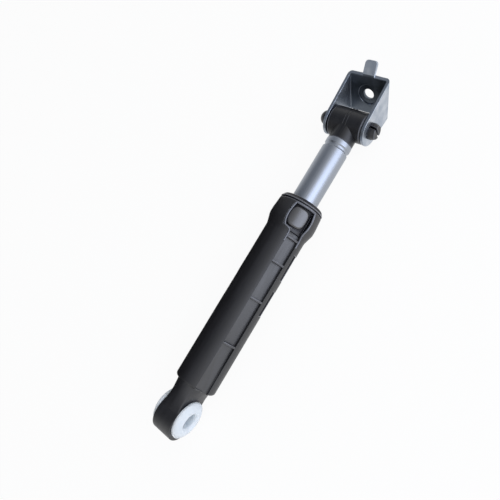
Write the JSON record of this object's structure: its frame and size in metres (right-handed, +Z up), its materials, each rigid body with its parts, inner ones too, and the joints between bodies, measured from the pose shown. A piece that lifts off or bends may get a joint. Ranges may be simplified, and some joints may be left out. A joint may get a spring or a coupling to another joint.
{
  "type": "washing machine shock absorber",
  "caption": "Telescopic friction damper with a ribbed moulded housing, a bushed lower eye, a chromed sliding rod and a folded sheet bracket on a pivot pin.",
  "frame": {"origin": "centre of the lower eye's bore", "axes": "+X along the damper from the lower eye to the bracket, +Y along the eye's bore, +Z up with the damper lying down"},
  "size_m": [0.2704, 0.0426, 0.0359],
  "materials": {
    "housing_plastic": "moulded glass-filled plastic, fine matt grain, near black",
    "bush_plastic": "moulded white acetal, slightly glossy",
    "ring_plastic": "moulded black plastic, smooth",
    "lining_foam": "greased open-cell foam",
    "cap_plastic": "moulded black plastic, glossy",
    "rod_chrome": "drawn steel tube, bright plated",
    "head_plastic": "moulded black plastic, satin",
    "pivot_rubber": "moulded rubber, matt",
    "bracket_zinc": "folded sheet steel, bluish zinc plate",
    "pin_plastic": "moulded black plastic, satin"
  },
  "bodies": {
    "housing": {"housing": "housing_plastic", "lower_bush_left": "bush_plastic", "lower_bush_right": "bush_plastic", "support_ring": "ring_plastic", "friction_lining": "lining_foam", "end_cap": "cap_plastic"},
    "rod_guide": {"guide_ring": "ring_plastic"},
    "rod": {"rod_tube": "rod_chrome", "rod_head": "head_plastic", "pivot_bush": "pivot_rubber"},
    "bracket": {"bracket": "bracket_zinc", "pivot_pin": "pin_plastic"}
  },
  "joints": [
    {"name": "rod_slide", "type": "slide", "parent": "housing", "child": "rod_guide", "axis": [1, 0, 0], "range_m": [-0.0517, 0.0365]},
    {"name": "rod_swivel", "type": "hinge", "parent": "rod_guide", "child": "rod", "pos_m": [0.2179, 0, 0], "axis": [1, 0, 0], "continuous": true},
    {"name": "bracket_pivot", "type": "hinge", "parent": "rod", "child": "bracket", "pos_m": [0.2179, 0, 0], "axis": [0, -1, 0], "range_deg": [-85, 85]}
  ]
}
